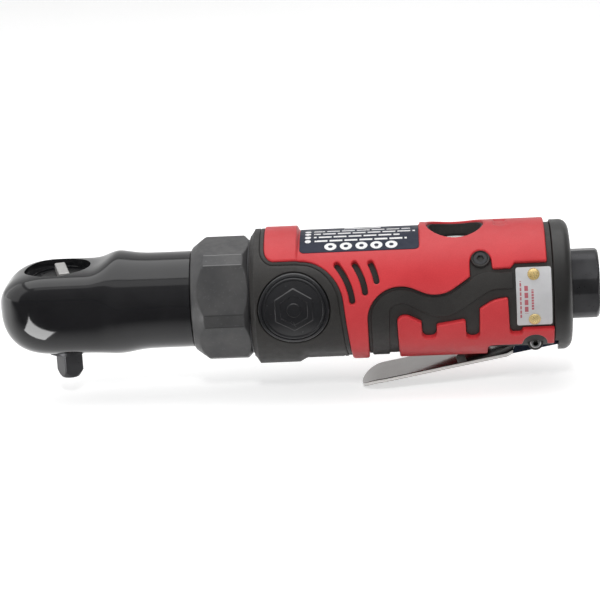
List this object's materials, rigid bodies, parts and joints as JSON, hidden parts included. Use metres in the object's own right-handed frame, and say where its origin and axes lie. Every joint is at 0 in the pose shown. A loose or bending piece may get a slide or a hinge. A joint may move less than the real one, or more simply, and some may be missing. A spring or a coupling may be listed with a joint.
{
  "type": "air ratchet",
  "caption": "Straight pneumatic ratchet wrench: rounded head with a square drive and reverse bar, clamp nut, two-tone grip, sheet lever under the grip and a threaded air inlet.",
  "frame": {"origin": "where the axis of the square drive crosses the long axis of the tool", "axes": "+X along the long axis towards the air inlet, +Z away from the square drive, +Y towards the side without the nameplate"},
  "size_m": [0.1863, 0.0428, 0.0519],
  "materials": {
    "head_black": "gloss black coating over steel",
    "nut_steel": "dark blued steel",
    "red_plastic": "satin moulded nylon",
    "black_rubber": "soft matt black",
    "black_plastic": "fine-textured black",
    "badge_black": "gloss black",
    "label_navy": "laminated sticker",
    "plate_silver": "satin anodised",
    "brass": "polished",
    "polished_steel": "polished sheet steel",
    "black_steel": "black oxide",
    "ground_steel": "ground",
    "spring_steel": "drawn wire",
    "housing_alloy": "machined",
    "vane_resin": "laminated resin",
    "seal_rubber": "smooth",
    "felt": "pressed felt"
  },
  "bodies": {
    "housing": {"head_housing": "head_black", "cover_plate": "black_steel", "thrust_washer": "ground_steel", "retaining_ring": "spring_steel", "needle_bearing": "ground_steel", "ring_gear": "black_steel", "clamp_nut": "nut_steel", "front_washer": "ground_steel", "front_end_plate": "black_steel", "front_bearing": "ground_steel", "cylinder_liner": "black_steel", "rear_end_plate": "black_steel", "rear_bearing": "ground_steel", "dowel_pin": "ground_steel", "motor_housing": "housing_alloy", "grip_sleeve": "black_rubber", "grip_shell": "red_plastic", "side_panel_near": "red_plastic", "side_panel_far": "red_plastic", "emblem": "badge_black", "label": "label_navy", "nameplate": "plate_silver", "nameplate_rivets": "brass", "grip_screws": "black_steel", "lever_pin": "ground_steel", "valve_seat": "brass", "stem_bush": "brass", "valve_spring": "spring_steel", "valve_plug": "ground_steel", "plug_o_ring": "seal_rubber", "exhaust_cap": "black_plastic", "muffler": "felt", "inlet_bushing": "black_steel", "inlet_o_ring": "seal_rubber", "filter_screen": "ground_steel"},
    "anvil": {"anvil": "black_steel", "socket_ball": "ground_steel", "pawl_pins": "ground_steel", "detent_ball": "ground_steel", "detent_spring": "spring_steel"},
    "knob": {"reverse_knob": "plate_silver"},
    "pawl_far": {"pawl_far": "ground_steel"},
    "pawl_near": {"pawl_near": "ground_steel"},
    "yoke": {"yoke": "ground_steel"},
    "crank": {"crankshaft": "ground_steel", "crank_bush": "brass", "planet_pins": "ground_steel"},
    "planet_1": {"planet_gear_1": "ground_steel"},
    "planet_2": {"planet_gear_2": "ground_steel"},
    "planet_3": {"planet_gear_3": "ground_steel"},
    "rotor": {"rotor": "ground_steel", "rotor_vanes": "vane_resin"},
    "lever": {"throttle_lever": "polished_steel"},
    "valve": {"throttle_valve": "polished_steel"}
  },
  "joints": [
    {"name": "rotor_spin", "type": "hinge", "parent": "housing", "child": "rotor", "pos_m": [0.078, 0, 0], "axis": [1, 0, 0], "continuous": true},
    {"name": "crank_spin", "type": "hinge", "parent": "housing", "child": "crank", "pos_m": [0.03, 0, 0], "axis": [1, 0, 0], "continuous": true},
    {"name": "planet_1_spin", "type": "hinge", "parent": "crank", "child": "planet_1", "pos_m": [0.0447, 0, 0.0081], "axis": [1, 0, 0], "continuous": true},
    {"name": "planet_2_spin", "type": "hinge", "parent": "crank", "child": "planet_2", "pos_m": [0.0447, -0.00701, -0.00405], "axis": [1, 0, 0], "continuous": true},
    {"name": "planet_3_spin", "type": "hinge", "parent": "crank", "child": "planet_3", "pos_m": [0.0447, 0.00701, -0.00405], "axis": [1, 0, 0], "continuous": true},
    {"name": "yoke_rock", "type": "hinge", "parent": "housing", "child": "yoke", "pos_m": [0, 0, 0], "axis": [0, 0, 1], "range_deg": [-3.5, 3.5]},
    {"name": "anvil_turn", "type": "hinge", "parent": "housing", "child": "anvil", "pos_m": [0, 0, 0], "axis": [0, 0, 1], "continuous": true},
    {"name": "knob_turn", "type": "hinge", "parent": "anvil", "child": "knob", "pos_m": [0, 0, 0.009], "axis": [0, 0, 1], "range_deg": [-28, 0]},
    {"name": "pawl_far_tilt", "type": "hinge", "parent": "anvil", "child": "pawl_far", "pos_m": [0, 0.0053, 0], "axis": [0, 0, 1], "range_deg": [-24, 0]},
    {"name": "pawl_near_tilt", "type": "hinge", "parent": "anvil", "child": "pawl_near", "pos_m": [0, -0.0053, 0], "axis": [0, 0, 1], "range_deg": [-24, 0]},
    {"name": "lever_squeeze", "type": "hinge", "parent": "housing", "child": "lever", "pos_m": [0.1462, 0, -0.015], "axis": [0, 1, 0], "range_deg": [0, 10], "stiffness_Nm_per_rad": 0.4, "springref_deg": -20.05},
    {"name": "valve_lift", "type": "slide", "parent": "housing", "child": "valve", "axis": [0, 0, 1], "range_m": [0, 0.0041], "deforming": ["valve_spring"]}
  ],
  "couplings": [
    {"joint": "crank_spin", "follows": "rotor_spin", "ratio": 0.22222},
    {"joint": "planet_1_spin", "follows": "rotor_spin", "ratio": -0.62222},
    {"joint": "planet_2_spin", "follows": "rotor_spin", "ratio": -0.62222},
    {"joint": "planet_3_spin", "follows": "rotor_spin", "ratio": -0.62222},
    {"joint": "pawl_far_tilt", "follows": "knob_turn", "ratio": 0.857},
    {"joint": "pawl_near_tilt", "follows": "knob_turn", "ratio": 0.857},
    {"joint": "valve_lift", "follows": "lever_squeeze", "m_per_rad": 0.0233}
  ]
}
